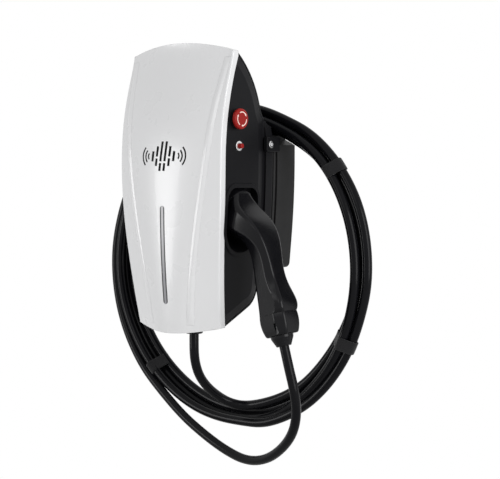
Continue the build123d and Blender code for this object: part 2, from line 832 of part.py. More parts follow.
def make_gun_tail():
    """The tail cap behind the seam, drawn in at its end, with slots for the clamp screws."""
    last_station = handle_stations[-1]
    ridge_half_width = last_station[4][1]
    start = tail_plane(seam) * handle_section(last_station)
    middle = tail_plane(0.45 * tail_length) * handle_section(last_station, tail_belly_scale)
    end = tail_plane(tail_length) * handle_section(last_station, tail_end_scale)
    cap = loft([start, middle, end])
    cap = fillet(cap.faces().sort_by(Axis.Z)[0].edges(), tail_edge_radius)
    cutter = Box(6 * tail_slot_depth, tail_slot_width, 2 * tail_slot_length)
    for turn in (1, -1):
        reach = turn * (ridge_half_width + 2 * tail_slot_depth)
        cap -= tail_plane(tail_length) * (Pos(reach, tail_slot_height, 0) * cutter)
    return cap


def make_gun_nut():
    """The cone-shaped clamping nut where the cable leaves the connector."""
    plane = tail_plane(tail_length + soft_gap)
    bore = cable_radius + 0.1
    profile = [(bore, 0), (gun_nut_top_radius, 0), (gun_nut_top_radius - 0.5, 3.5)]
    profile += [(gun_nut_end_radius, gun_nut_length), (bore, gun_nut_length), (bore, 0)]
    face = make_face(Plane.XZ * Polyline(profile))
    nut = revolve(face, axis=Axis.Z, revolution_arc=360)
    return plane * nut


def make_gun_insert():
    """The contact carrier inside the nose with seven contact tubes."""
    plane = dock_plane()
    radius = nose_radius - nose_wall - soft_gap
    carrier_start = 2 * contact_recess - nose_length
    carrier = rod(plane, radius, nose_hollow - 2 * contact_recess, carrier_start)
    pins = []
    for x, y, size in contact_places():
        spot = Plane(origin=plane.from_local_coords(Vector(x, y, 0)), x_dir=plane.x_dir, z_dir=plane.z_dir)
        collar = size + contact_collar
        carrier -= rod(spot, collar, pin_length, contact_recess - nose_length)
        pin = rod(spot, size, pin_length, contact_recess - nose_length)
        pins.append(pin + rod(spot, collar, 2.0, contact_recess - nose_length + pin_length - 2.0))
    return carrier, pins


def contact_places():
    """Seven contacts: two small ones above, five large ones around and in the middle."""
    places = [(-5.0, 9.0, small_pin_radius), (5.0, 9.0, small_pin_radius), (0.0, 0.0, pin_radius)]
    for angle in (180, 0, 235, 305):
        reach = pin_circle_radius + (2.0 if angle in (180, 0) else 3.0)
        turn = math.radians(angle)
        places.append((reach * math.cos(turn), reach * math.sin(turn), pin_radius))
    return places


def make_gun_seal():
    """A soft ring round the nose, just inside the dock's mouth."""
    plane = dock_plane()
    start = -nose_length + 8
    ring = rod(plane, nose_radius - nose_wall - 0.1, 3.0, start)
    ring -= rod(plane, nose_radius - nose_wall - 2.2, 8.0, start - 2)
    return ring


def cord_path(points):
    """Straight runs joined by the largest arcs that the runs allow."""
    places = [Vector(*p) for p in points]
    radii = []
    for before, here, after in zip(places, places[1:], places[2:]):
        turn = math.radians((here - before).get_angle(after - here))
        shorter = min((here - before).length, (after - here).length)
        radii.append(0.45 * shorter / math.tan(turn / 2))
    print("cable arc radii", [round(r, 1) for r in radii])
    return FilletPolyline(*places, radius=radii)


def cable_tube(points):
    path = cord_path(points)
    start = Plane(origin=path @ 0, z_dir=path % 0)
    tube = sweep(start * Circle(cable_radius), path=path)
    ideal = math.pi * cable_radius**2 * path.length
    print(f"cable length {path.length:.1f} volume ratio {tube.volume / ideal:.4f}")
    return tube


def make_coil():
    return revolve(bundle_section(0), axis=coil_axis(), revolution_arc=360)


def make_ties():
    """Flat straps round the coil, each a closed band."""
    band = bundle_section(soft_gap + tie_thickness) - bundle_section(soft_gap)
    ties = []
    span = math.degrees(tie_width / coil_inner_radius)
    for angle in tie_angles:
        turn = 90 - angle - span / 2
        tie = revolve(band, axis=coil_axis(), revolution_arc=span)
        ties.append(tie.rotate(coil_axis(), turn))
    return ties


def foot_level():
    """Height of the foot's outer face at the lead, on the centre plane."""
    run = lead_y - foot_rim_y
    return foot_axis_z - foot_radius + run * math.tan(math.radians(foot_angle))


def gland_end():
    """Height at which the cable leaves the gland."""
    return foot_level() - gland_collar - gland_nut_height


def make_gland():
    """The gland of the charging cable: body through the foot, dome nut below, lock nut inside."""
    plane = Plane(origin=(lead_x, lead_y, foot_level()), x_dir=(1, 0, 0), z_dir=(0, 0, -1))
    body = rod(plane, gland_neck_radius, gland_inside + gland_collar, -gland_inside)
    collar = rod(plane, gland_flange_radius, 2 * gland_collar, -gland_collar)
    body += collar - body_form(-0.1, front_limit, housing_rear_y)
    lock = plane.offset(-gland_inside + 0.5) * extrude(RegularPolygon(17, 6), amount=4)
    nut = rod(plane, gland_neck_radius + 1.0, gland_nut_height, gland_collar)
    nut = fillet(nut.faces().sort_by(Axis.Z)[0].edges(), 2.0)
    bore = rod(plane, cable_radius + 0.1, 80, -40)
    return body - bore, nut - bore, lock - rod(plane, gland_neck_radius + 0.1, 80, -40)


def make_grommet():
    """The soft bush for the supply cable in the bracket's back plate, closed by a thin membrane
    until the cable is pushed through it."""
    plane = on_y(-0.2, 0, supply_z)
    bush = rod(plane, supply_hole_radius - 0.2, bracket_wall + grommet_lip)
    bush += rod(plane, supply_hole_radius + grommet_lip, grommet_lip, bracket_wall)
    return bush - rod(plane, supply_hole_radius - 5, 4 * grommet_lip, grommet_membrane)


def make_plate_screws():
    """Screws that hold the rear shell to the hanger plate, from inside the box."""
    low = rear_foot_z() + lower_plate_screw[1]
    high = roof_top() - upper_plate_screw[1]
    places = [(width_at(low) - lower_plate_screw[0], low), (width_at(high) - upper_plate_screw[0], high)]
    radius, height = plate_screw_head
    screws = []
    for x, z in places:
        for side in (-1, 1):
            plane = on_y(rear_shell_y - wall, side * x, z)
            socket = extrude(plane.offset(0.6 * height) * RegularPolygon(0.5 * radius, 6), amount=height)
            screws.append(rod(plane, radius, height, 0.1) - socket)
    return screws


def rail_places():
    """Heights of the two mounting rails and the height of the devices on them."""
    top = roof_top() - equipment_below_roof
    low = rear_foot_z() + equipment_above_foot
    pitch = (top - low) / 2
    return [top - pitch / 2, low + pitch / 2], pitch - device_gap


def make_rail(z):
    """A hat-shaped rail on the rear shell's floor."""
    plane = on_y(rear_shell_y - wall, rail_x, z)
    inside = rail_foot - 2 * rail_wall
    hat = block(plane, rail_length, rail_foot, rail_height)
    hat -= block(plane, rail_length + 2, inside, 2 * (rail_height - rail_wall), -(rail_height - rail_wall))
    hat -= block(plane, rail_length + 2, 0.56 * rail_foot, rail_height + 1, rail_wall)
    feet = block(plane, rail_length, rail_foot, rail_wall)
    brims = block(plane, rail_length, rail_width, rail_wall, rail_height - rail_wall)
    brims -= block(plane, rail_length + 2, inside, rail_height, 0.5 * rail_height)
    return hat + feet + brims


def make_device(x, z, width, height, depth, step):
    """A rail device: a deep block whose middle stands further out."""
    plane = on_y(rear_shell_y - wall - rail_height, x, z)
    body = block(plane, width, height, depth - step)
    body += block(plane, width, 0.5 * height, depth)
    return fillet(body.edges().filter_by(Axis.Y), device_corner)


def make_equipment():
    """What the box holds on its rails, and the earth bar below them."""
    rail_z, height = rail_places()
    parts = {"mounting_rails": [make_rail(z) for z in rail_z]}
    for z, row in zip(rail_z, rail_devices):
        left = rail_x - rail_length / 2 + rail_margin
        for name, width, depth, step in row:
            body = make_device(left + width / 2, z, width, height, depth, step)
            if name == "leakage_sensor":
                body -= rod(on_y(rear_shell_y, left + width / 2, z), sensor_hole_radius, 2 * depth)
            parts[name] = body
            left += width + device_gap
    low = rear_foot_z() + earth_bar_above_foot
    floor_y = rear_shell_y - wall
    width, height, depth = earth_bar_size
    earth = block(on_y(floor_y, rail_x, low), width, height, depth)
    pitch = width / earth_bar_holes
    for i in range(earth_bar_holes):
        x = rail_x + pitch * (i - (earth_bar_holes - 1) / 2)
        earth -= rod(on_y(floor_y, x, low), 0.2 * height, 2 * depth, -0.5 * depth)
    parts["earth_bar"] = earth
    return parts


def make_boards():
    """Light board behind the bar, reader board behind the mark, control board on columns."""
    parts = {}
    light = on_y(light_level() + 0.1 + board_thickness, 0, bar_centre_z())
    parts["light_board"] = block(light, light_board_width, bar_length - 6, board_thickness)
    reader = on_y(reader_level() + 0.1 + board_thickness, 0, reader_z)
    board = block(reader, reader_board_width, reader_board_height, board_thickness)
    parts["reader_board"] = fillet(board.edges().filter_by(Axis.Y), board_corner)
    control_top = roof_top() - control_below_roof
    centre_z = (control_top + control_foot_z) / 2
    control = on_y(control_y + board_thickness, control_x, centre_z)
    board = block(control, control_width, control_top - control_foot_z, board_thickness)
    board = fillet(board.edges().filter_by(Axis.Y), board_corner)
    columns = []
    screws = []
    floor_y = rear_shell_y - wall
    for side in (-1, 1):
        x = control_x + side * (control_width / 2 - board_screw_inset)
        for z in (control_foot_z + board_screw_inset, control_top - board_screw_inset):
            board -= rod(on_y(control_y + 4, x, z), screw_radius + screw_clearance, 8)
            column = rod(on_y(floor_y, x, z), column_radius, floor_y - control_y - board_thickness)
            columns.append(column - rod(on_y(control_y + 14, x, z), screw_radius, 30))
            head = rod(on_y(control_y - 0.05, x, z), screw_head_radius, 2.2)
            screws.append(head + rod(on_y(control_y + 8, x, z), screw_radius - 0.1, 9))
    parts["control_board"] = board
    parts["board_columns"] = columns
    parts["board_screws"] = screws
    return parts


def cover_centre(z):
    """Depth of the cover's front on the centre plane."""
    rise = crease_rise * max(crease_top_z - z, 0.0) / (crease_top_z - crease_foot_z) + 0.4
    return rim_at(z) - rim_depth - rise - crown


def make_gasket():
    """A soft ring on the housing's front flange, inside the cover's skirt."""
    outer = body_form(wall + 0.3, front_limit, housing_rear_y)
    inner = body_form(wall + 0.3 + gasket_width, front_limit, housing_rear_y)
    ring = (outer - inner) & ahead_of_rim(seam - 0.05)
    return ring - ahead_of_rim(seam - gasket_height)


def make_cover_screws():
    screws = []
    for x, z in post_places():
        for side in (-1, 1):
            plane = on_y(rim_at(z) + seam + wall + 0.7, side * x, z)
            head = rod(plane, screw_head_radius, screw_head_height, -screw_head_height)
            shaft = rod(plane, screw_radius - 0.1, wall + 7.0, -0.1)
            screws.append(head + shaft)
    return screws


def make_parts():
    parts = {
        "front_cover": make_cover(),
        "light_bar": make_light_bar(),
        "cover_gasket": make_gasket(),
        "cover_screws": make_cover_screws(),
        "front_housing": make_housing(),
        "rear_shell": make_rear_shell(),
        "wall_bracket": make_wall_bracket(),
        "hanger_plate": make_hanger_plate(),
        "cable_saddle": make_saddle(),
        "latch_blocks": make_latches(),
        "latch_screws": make_latch_screws(),
        "dock_socket": make_dock(),
        "gun_shell": make_gun_shell(),
        "gun_tail_cap": make_gun_tail(),
        "gun_clamp_nut": make_gun_nut(),
        "gun_seal": make_gun_seal(),
    }
    names = ["stop_collar", "stop_lock_nut", "stop_stem", "stop_head", "stop_contacts"]
    parts.update(zip(names, make_stop()))
    names = ["button_collar", "button_lock_nut", "button_cap", "button_switch"]
    parts.update(zip(names, make_button()))
    parts["gun_contact_carrier"], parts["gun_contacts"] = make_gun_insert()
    names = ["cable_gland", "cable_gland_nut", "cable_gland_lock_nut"]
    parts.update(zip(names, make_gland()))
    parts.update(make_equipment())
    parts.update(make_boards())
    parts["supply_grommet"] = make_grommet()
    parts["plate_screws"] = make_plate_screws()
    parts["cable_lead"] = cable_tube([(lead_x, lead_y, gland_end())] + lead_points)
    ends = [tail_plane(tail_length + soft_gap + clamp_start), tail_plane(drop_straight)]
    parts["cable_drop"] = cable_tube([tuple(end.origin) for end in ends] + drop_points)
    parts["cable_coil"] = make_coil()
    parts["cable_ties"] = make_ties()
    return parts


os.makedirs("parts", exist_ok=True)
for name, shape in make_parts().items():
    solids = shape if isinstance(shape, list) else [shape]
    whole = Compound(children=solids) if len(solids) > 1 else solids[0]
    export_step(whole, f"parts/{name}.step")
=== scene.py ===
import json
import math

import bmesh
import bpy
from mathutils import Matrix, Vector
from mathutils.bvhtree import BVHTree
from mathutils.geometry import convex_hull_2d


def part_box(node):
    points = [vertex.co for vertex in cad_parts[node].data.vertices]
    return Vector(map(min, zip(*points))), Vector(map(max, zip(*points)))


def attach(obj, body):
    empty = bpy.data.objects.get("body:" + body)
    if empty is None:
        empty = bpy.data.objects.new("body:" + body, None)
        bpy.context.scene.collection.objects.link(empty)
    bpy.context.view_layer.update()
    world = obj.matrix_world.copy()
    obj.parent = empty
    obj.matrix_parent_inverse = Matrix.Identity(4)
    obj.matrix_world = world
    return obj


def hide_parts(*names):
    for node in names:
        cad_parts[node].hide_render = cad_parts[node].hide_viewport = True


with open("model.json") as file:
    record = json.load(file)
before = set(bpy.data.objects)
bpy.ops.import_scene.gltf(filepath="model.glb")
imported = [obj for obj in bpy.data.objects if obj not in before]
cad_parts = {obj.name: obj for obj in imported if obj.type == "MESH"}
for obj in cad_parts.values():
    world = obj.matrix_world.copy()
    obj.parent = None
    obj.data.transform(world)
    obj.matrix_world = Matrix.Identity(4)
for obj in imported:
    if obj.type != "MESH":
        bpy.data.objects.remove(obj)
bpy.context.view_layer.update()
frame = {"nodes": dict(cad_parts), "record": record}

nodes = frame["nodes"]

# Sizes of the part's own forms are in millimetres, turned into metres by mm
mm = 0.001
cable_radius = 7.0
coil_axis_z = -133.0
stop_axis = (-135.0, 83.7)

# Rays that look for a surface start this far from the wall screws
far_off = 400.0

# Points round the section of a flat strip
strip_points = 4

# Hook and loop ties round the coil: angle from the lowest point towards +X and turns held
tie_places = [(64.0, 4), (127.0, 4), (316.0, 3)]
tie_width = 19.0
tie_thickness = 0.9
tie_slack = 0.1
tie_edge_radius = 0.35
tie_lap = 0.3
tie_lap_gap = 0.2
tie_lap_ramp = 4
tie_end_share = 0.8
tie_step = 2.0
tie_columns = 8
strand_dots = 24

# Rounded ridge along each crease of the cover, whose line is as in the part's source
crease_foot = 39.0
crease_flare = 0.10
crease_shoulder = 13.5
crease_shoulder_run = 260.0
crease_foot_z = -200.0
ridge_top_z = 172.0
ridge_bottom_z = -212.0
ridge_height = 1.15
ridge_half_width = 5.6
ridge_fade = 14.0
ridge_sunk = 0.3
ridge_film = 0.02
ridge_rows = 96
ridge_columns = 12
ridge_sharp_angle = 50.0

# Sealing lip inside each side, where the housing meets the rear shell
lip_top_z = 82.5
lip_bottom_z = -154.0
lip_straight_top_z = 76.0
lip_front_y = -77.0
lip_rear_y = -65.0
lip_thickness = 1.0
lip_rows = 46

# Reader sign on the cover: six bars and three waves at each side
sign_z = 31.5
bar_pitch = 8.15
bar_thickness = 4.2
bar_lean = 0.1
bar_steps = 8
bar_spans = [
    [(-21.3, -10.1), (-7.5, 21.2)],
    [(-14.3, -3.3), (-0.5, 14.2)],
    [(-7.5, 7.1)],
]
wave_centre_x = 24.4
wave_radii = [5.5, 11.2, 17.2]
wave_thickness = 2.5
wave_half_angle = 47.0
wave_half_steps = 8
print_thickness = 0.12

# Colours of the light bar, from foot to top and along its edges, and where they change: painted
# light that goes lighter towards the top, and painted shade along the edges
light_bar_shaded_foot = (0.26, 0.26, 0.275)
light_bar_lit_top = (0.50, 0.50, 0.515)
light_bar_edge_shade = (0.02, 0.02, 0.022)
light_bar_lit_rise = (0.3, 0.75)
light_bar_shade_band = (1.5, 2.6)

# Arrows on the stop knob: sizes, and angles of the gaps between them
arrow_count = 3
arrow_radius = 9.7
arrow_thickness = 1.5
arrow_head = 3.6
arrow_tip = 0.1
arrow_neck_share = 0.05
arrow_gap = 22.0
arrow_first_gap = 10.0
arrow_steps = 12

# Slow changes of a surface's gloss and colour: noise scales, and the spans of noise they take
wear_scale = 22.0
metal_wear_scale = 80.0
wear_span = (0.3, 0.7)
tint_scale = 9.0
tint_span = (0.35, 0.65)

# Edge radius of metal, in metres
metal_edge = 0.0003

# Sockets of a Mix node that mixes colours
mix_first = 6
mix_second = 7
mixed = 2

# The camera stood to the right of the box, level with its wall screws; distances in metres
camera_azimuth = 40.0
camera_distance = 2.2
camera_target = (0.085, -0.090)
camera_drop = 2.32
focal_pixels = 1517.0
image_width = 500.0
sensor_width = 36.0

# Studio in metres: light of the surroundings, floor, and lamps as (name, place, size, watts)
world_light = 0.55
box_middle = (0.0, -0.1, 0.0)
floor_z = -0.75
floor_radius = 1.2
floor_sides = 96
floor_whiteness = 0.75
lamps = [
    ("strip", (-1.6, -2.1, -0.1), (0.85, 1.1), 19.0),
    ("side", (2.8, -0.35, 0.4), (1.6, 2.0), 55.0),
    ("front", (0.6, -3.4, 1.4), (1.2, 1.0), 8.0),
]


# Shader helpers

def new_material(name, base, roughness, metallic=0.0, coat=0.0, specular=0.5):
    material = bpy.data.materials.new(name)
    material.use_nodes = True
    shader = material.node_tree.nodes["Principled BSDF"]
    shader.inputs["Base Color"].default_value = (*base, 1.0)
    shader.inputs["Roughness"].default_value = roughness
    shader.inputs["Metallic"].default_value = metallic
    shader.inputs["Coat Weight"].default_value = coat
    shader.inputs["Specular IOR Level"].default_value = specular
    return material


def node(material, kind, **inputs):
    """A new node, with its inputs set by name."""
    item = material.node_tree.nodes.new(kind)
    for name, value in inputs.items():
        item.inputs[name.replace("_", " ")].default_value = value
    return item


def link(material, source, output, target, socket):
    material.node_tree.links.new(source.outputs[output], target.inputs[socket])


def object_coordinates(material):
    return material.node_tree.nodes.new("ShaderNodeTexCoord")


def add_grain(material, scale, height):
    """A fine bump over the whole surface."""
    shader = material.node_tree.nodes["Principled BSDF"]
    place = object_coordinates(material)
    noise = node(material, "ShaderNodeTexNoise", Scale=scale, Detail=3.0, Roughness=0.6)
    bump = node(material, "ShaderNodeBump", Strength=1.0, Distance=height)
    link(material, place, "Object", noise, "Vector")
    link(material, noise, "Fac", bump, "Height")
    link(material, bump, "Normal", shader, "Normal")


def add_wear(material, low, high, scale):
    """A slow change of roughness, as hands and dust leave on plastic."""
    shader = material.node_tree.nodes["Principled BSDF"]
    place = object_coordinates(material)
    noise = node(material, "ShaderNodeTexNoise", Scale=scale, Detail=4.0, Roughness=0.55)
    start, end = wear_span
    spread = node(
        material, "ShaderNodeMapRange", From_Min=start, From_Max=end, To_Min=low, To_Max=high,
    )
    link(material, place, "Object", noise, "Vector")
    link(material, noise, "Fac", spread, "Value")
    link(material, spread, "Result", shader, "Roughness")


def colour_ramp(material, positions, colours):
    """A ramp from one colour to another between two positions."""
    ramp = node(material, "ShaderNodeValToRGB")
    for stop, position, colour in zip(ramp.color_ramp.elements, positions, colours):
        stop.position = position
        stop.color = (*colour, 1.0)
    return ramp


def add_tint(material, first, second, scale):
    """A slight change of colour over the surface."""
    shader = material.node_tree.nodes["Principled BSDF"]
    place = object_coordinates(material)
    noise = node(material, "ShaderNodeTexNoise", Scale=scale, Detail=3.0)
    ramp = colour_ramp(material, tint_span, (first, second))
    link(material, place, "Object", noise, "Vector")
    link(material, noise, "Fac", ramp, "Fac")
    link(material, ramp, "Color", shader, "Base Color")


# Materials

def round_edges(material, radius):
    """Softens hard edges in the shading, as a mould leaves them."""
    bevel = node(material, "ShaderNodeBevel", Radius=radius)
    bump = next(item for item in material.node_tree.nodes if item.bl_idname == "ShaderNodeBump")
    link(material, bevel, "Normal", bump, "Normal")


def plastic(name, base, rough, grain, coat=0.0, specular=0.5, edge=0.0005, tint=1.12):
    """Moulded plastic: base colour, roughness range, (grain scale, height) and soft edges."""
    low, high = rough
    material = new_material(name, base, (low + high) / 2, coat=coat, specular=specular)
    add_grain(material, *grain)
    add_wear(material, low, high, wear_scale)
    lighter = [channel * tint for channel in base]
    add_tint(material, base, lighter, tint_scale)
    round_edges(material, edge)
    return material


def metal(name, base, rough, grain):
    """Metal: base colour, roughness range, (grain scale, height) and soft edges."""
    low, high = rough
    material = new_material(name, base, (low + high) / 2, metallic=1.0)
    add_grain(material, *grain)
    add_wear(material, low, high, metal_wear_scale)
    round_edges(material, metal_edge)
    return material


def light_bar_material():
    """Satin diffuser with painted light: its top is painted lighter than its foot, and painted
    shade darkens its edges, so its middle is lighter.
    """
    material = plastic(
        "light_bar_grey", light_bar_shaded_foot, (0.3, 0.36), (900.0, 0.00003), specular=0.25,
    )
    shader = material.node_tree.nodes["Principled BSDF"]
    place = object_coordinates(material)
    split = node(material, "ShaderNodeSeparateXYZ")
    low, high = (corner[2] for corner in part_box("light_bar"))
    # Painted light: the colour goes lighter from the bar's foot to its top
    painted_rise = node(material, "ShaderNodeMapRange", From_Min=low, From_Max=high)
    ramp = colour_ramp(material, light_bar_lit_rise, (light_bar_shaded_foot, light_bar_lit_top))
    aside = node(material, "ShaderNodeMath")
    aside.operation = "ABSOLUTE"
    # Painted shade: the colour darkens towards the bar's left and right edges, as the shadow of
    # the slot's gap
    inner, outer = (reach * mm for reach in light_bar_shade_band)
    edge = node(material, "ShaderNodeMapRange", From_Min=inner, From_Max=outer)
    mix = node(material, "ShaderNodeMix")
    mix.data_type = "RGBA"
    mix.inputs[mix_second].default_value = (*light_bar_edge_shade, 1.0)
    link(material, place, "Object", split, "Vector")
    link(material, split, "Z", painted_rise, "Value")
    link(material, painted_rise, "Result", ramp, "Fac")
    link(material, split, "X", aside, 0)
    link(material, aside, 0, edge, "Value")
    link(material, edge, "Result", mix, 0)
    link(material, ramp, "Color", mix, mix_first)
    link(material, mix, mixed, shader, "Base Color")
    return material


def add_loop_pile(material):
    """Loop pile of a hook and loop tie: short rows of tiny loops."""
    shader = material.node_tree.nodes["Principled BSDF"]
    place = object_coordinates(material)
    cells = node(material, "ShaderNodeTexVoronoi", Scale=900.0)
    bump = node(material, "ShaderNodeBump", Strength=0.8, Distance=0.0004)
    link(material, place, "Object", cells, "Vector")
    link(material, cells, "Distance", bump, "Height")
    link(material, bump, "Normal", shader, "Normal")
    shader.inputs["Sheen Weight"].default_value = 0.3
    shader.inputs["Sheen Roughness"].default_value = 0.5


def make_materials():
    """Materials by slot, with those of the printed signs."""
    kit = {
        "cover": plastic(
            "cover_gloss", (0.675, 0.677, 0.685), (0.27, 0.285), (900.0, 0.00001),
            coat=0.2, edge=0.0012, tint=1.006,
        ),
        "housing": plastic(
            "housing_black", (0.006, 0.006, 0.007), (0.36, 0.48), (1600.0, 0.00006), specular=0.08,
        ),
        "bracket": plastic(
            "bracket_grey", (0.019, 0.019, 0.0195), (0.42, 0.58), (1400.0, 0.00008), specular=0.12,
        ),
        "grip": plastic(
            "grip_black", (0.004, 0.004, 0.005), (0.16, 0.24), (1800.0, 0.00002), specular=0.16,
        ),
        "cable": plastic(
            "cable_black", (0.004, 0.004, 0.005), (0.14, 0.19), (500.0, 0.00003), specular=0.09,
        ),
        "tie": new_material("tie_black", (0.008, 0.008, 0.009), roughness=0.85, specular=0.08),
        "seal": plastic(
            "seal_black", (0.008, 0.008, 0.008), (0.7, 0.8), (900.0, 0.00008), specular=0.1,
        ),
        "stop_red": plastic(
            "stop_red", (0.24, 0.009, 0.007), (0.28, 0.36), (1200.0, 0.00002), specular=0.15,
        ),
        "bright_metal": metal("bright_metal", (0.80, 0.80, 0.81), (0.14, 0.3), (1500.0, 0.00002)),
        "zinc": metal("zinc_steel", (0.60, 0.61, 0.63), (0.28, 0.45), (1200.0, 0.00003)),
        "brass": metal("brass", (0.70, 0.50, 0.20), (0.25, 0.4), (1200.0, 0.00003)),
        "contacts": metal("contact_silver", (0.78, 0.77, 0.74), (0.2, 0.3), (1200.0, 0.00002)),
        "device": plastic("device_grey", (0.42, 0.43, 0.43), (0.45, 0.55), (1200.0, 0.00005)),
        "board": plastic("board_green", (0.01, 0.10, 0.05), (0.3, 0.4), (600.0, 0.00006)),
        "light_bar": light_bar_material(),
        "mark": plastic(
            "mark_black", (0.005, 0.005, 0.006), (0.4, 0.5), (900.0, 0.00001), specular=0.05,
        ),
        "pale": plastic(
            "pale_print", (0.80, 0.62, 0.56), (0.35, 0.45), (900.0, 0.00001), specular=0.3,
        ),
    }
    add_loop_pile(kit["tie"])
    return kit


def paint_nodes(kit):
    """Each solid gets the material of its slot in the record."""
    slots = {part["node"]: part["material_slot"] for part in frame["record"]["subparts"]}
    for name, obj in nodes.items():
        obj.data.materials.clear()
        obj.data.materials.append(kit[slots[name]])


# Charging cable: one line from the gland through the coil to the connector

lead_points = [
    (0.0, -117.0, -222.0),
    (0.3, -117.8, -247.0),
    (0.0, -116.0, -269.0),
    (0.0, -107.5, -291.0),
    (0.0, -91.0, -309.5),
    (2.0, -70.0, -325.5),
    (11.0, -51.0, -338.5),
]
# Angle from the lowest point towards +X, radius and depth of the strand there
coil_stations = [
    (8.0, 212.5, -37.0),
    (45.0, 218.0, -27.0),
    (90.0, 224.0, -12.5),
    (130.0, 224.0, -12.5),
    (157.0, 219.0, -17.5),
    (203.0, 219.0, -17.5),
    (270.0, 222.3, -18.0),
    (330.0, 218.3, -14.0),
    (360.0, 220.5, -14.0),
    (380.0, 223.7, -22.5),
    (400.0, 229.0, -20.0),
    (430.0, 234.5, -17.5),
    (450.0, 237.0, -18.5),
    (485.0, 238.0, -18.5),
    (517.0, 232.8, -17.0),
    (563.0, 232.8, -17.0),
    (630.0, 236.2, -19.5),
    (680.0, 231.5, -16.5),
    (720.0, 233.0, -17.5),
    (740.0, 235.5, -26.5),
    (760.0, 232.5, -33.5),
    (790.0, 234.5, -36.5),
    (850.0, 236.0, -37.0),
    (877.0, 228.0, -35.3),
    (923.0, 228.0, -35.3),
    (990.0, 236.0, -34.0),
    (1040.0, 232.9, -34.0),
    (1080.0, 234.0, -34.0),
    (1100.0, 243.8, -36.5),
    (1120.0, 245.5, -31.0),
    (1150.0, 245.5, -27.0),
    (1170.0, 249.5, -26.0),
    (1192.0, 251.0, -26.0),
    (1217.0, 248.0, -27.0),
    (1237.0, 241.0, -29.5),
    (1283.0, 243.0, -30.0),
    (1329.0, 246.0, -31.0),
    (1350.0, 249.0, -31.0),
    (1380.0, 246.5, -35.0),
    (1404.0, 245.1, -39.5),
]
drop_points = [
    (-90.0, -46.0, -367.5),
    (-42.0, -51.0, -391.0),
    (8.0, -57.0, -410.0),
    (58.0, -66.0, -419.5),
    (104.0, -76.0, -411.0),
    (143.0, -86.5, -388.5),
    (172.0, -98.0, -361.0),
    (187.0, -109.0, -330.0),
    (188.5, -117.0, -297.0),
    (180.6, -120.0, -264.3),
    (169.5, -120.0, -224.2),
]
coil_step = 10.0


def smooth(t):
    return t * t * (3 - 2 * t)


def coil_place(angle):
    """Radius and depth of the strand at an angle, eased between the stations."""
    for (a, ra, ya), (b, rb, yb) in zip(coil_stations, coil_stations[1:]):
        if angle <= b:
            t = smooth((angle - a) / (b - a))
            return ra + (rb - ra) * t, ya + (yb - ya) * t
    return coil_stations[-1][1:]


def round_coil(angle, radius, depth):
    """Place at an angle from the coil's lowest point towards +X."""
    turn = math.radians(angle)
    return (radius * math.sin(turn), depth, coil_axis_z - radius * math.cos(turn))


def coil_point(angle):
    return round_coil(angle, *coil_place(angle))


def cable_line():
    """Points of the whole cable, in metres."""
    first, last = coil_stations[0][0], coil_stations[-1][0]
    count = round((last - first) / coil_step)
    coil = [coil_point(first + (last - first) * i / count) for i in range(count + 1)]
    return [Vector(p) * mm for p in lead_points + coil + drop_points]


def line_length(obj):
    """Length of a curve's own line, without its thickness."""
    depth = obj.data.bevel_depth
    obj.data.bevel_depth = 0.0
    mesh = obj.evaluated_get(bpy.context.evaluated_depsgraph_get()).to_mesh()
    spots = [vertex.co for vertex in mesh.vertices]
    total = sum((spots[a] - spots[b]).length for a, b in (edge.vertices for edge in mesh.edges))
    obj.data.bevel_depth = depth
    return total


def make_cable(kit, ties):
    """The charging cable as one curve, with its thickness in the points' radius."""
    curve = bpy.data.curves.new("charging_cable", "CURVE")
    curve.dimensions = "3D"
    points = cable_line()
    spline = curve.splines.new("NURBS")
    spline.points.add(len(points) - 1)
    for spot, place in zip(spline.points, points):
        spot.co = (*place, 1.0)
        spot.radius = cable_radius * mm
    spline.order_u = 3
    spline.use_endpoint_u = True
    spline.resolution_u = 6
    curve.bevel_depth = 1.0
    curve.bevel_resolution = 6
    curve.materials.append(kit["cable"])
    cable = bpy.data.objects.new("charging_cable", curve)
    bpy.context.scene.collection.objects.link(cable)
    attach(cable, "wallbox")
    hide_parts("cable_lead", "cable_coil", "cable_drop")
    bpy.context.view_layer.update()
    pieces = [nodes[n] for n in nodes if n.startswith(("gun_", "cable_gland"))]
    pieces.append(ties)
    round(line_length(cable), 2)


# Pieces made from points and faces

def new_piece(name, verts, faces, material, body, smooth_faces=False):
    """A piece from points in millimetres, on its body and slot."""
    mesh = bpy.data.meshes.new(name)
    mesh.from_pydata([Vector(v) * mm for v in verts], [], faces)
    mesh.materials.append(material)
    piece = bpy.data.objects.new(name, mesh)
    bpy.context.scene.collection.objects.link(piece)
    for face in mesh.polygons:
        face.use_smooth = smooth_faces
    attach(piece, body)
    return piece


def turn_faces_out(piece, sharp_angle=180.0):
    """Point a closed piece's faces outwards, and keep the edges above an angle sharp."""
    mesh = bmesh.new()
    mesh.from_mesh(piece.data)
    bmesh.ops.recalc_face_normals(mesh, faces=mesh.faces)
    for edge in mesh.edges:
        if edge.calc_face_angle(0.0) > math.radians(sharp_angle):
            edge.smooth = False
    mesh.to_mesh(piece.data)
    mesh.free()


def skin_rings(rings, count):
    """Faces of a closed tube whose points come as rings of count points each."""
    faces = []
    for i in range(rings - 1):
        for k in range(count):
            a = i * count + k
            b = i * count + (k + 1) % count
            faces.append((a, b, b + count, a + count))
    last = (rings - 1) * count
    faces += [tuple(range(count)), tuple(range(last, last + count))]
    return faces


def surface_of(name):
    """A node's surface, for rays cast on it."""
    mesh = nodes[name].data
    faces = [tuple(face.vertices) for face in mesh.polygons]
    return BVHTree.FromPolygons([vertex.co for vertex in mesh.vertices], faces)


# Hook and loop ties

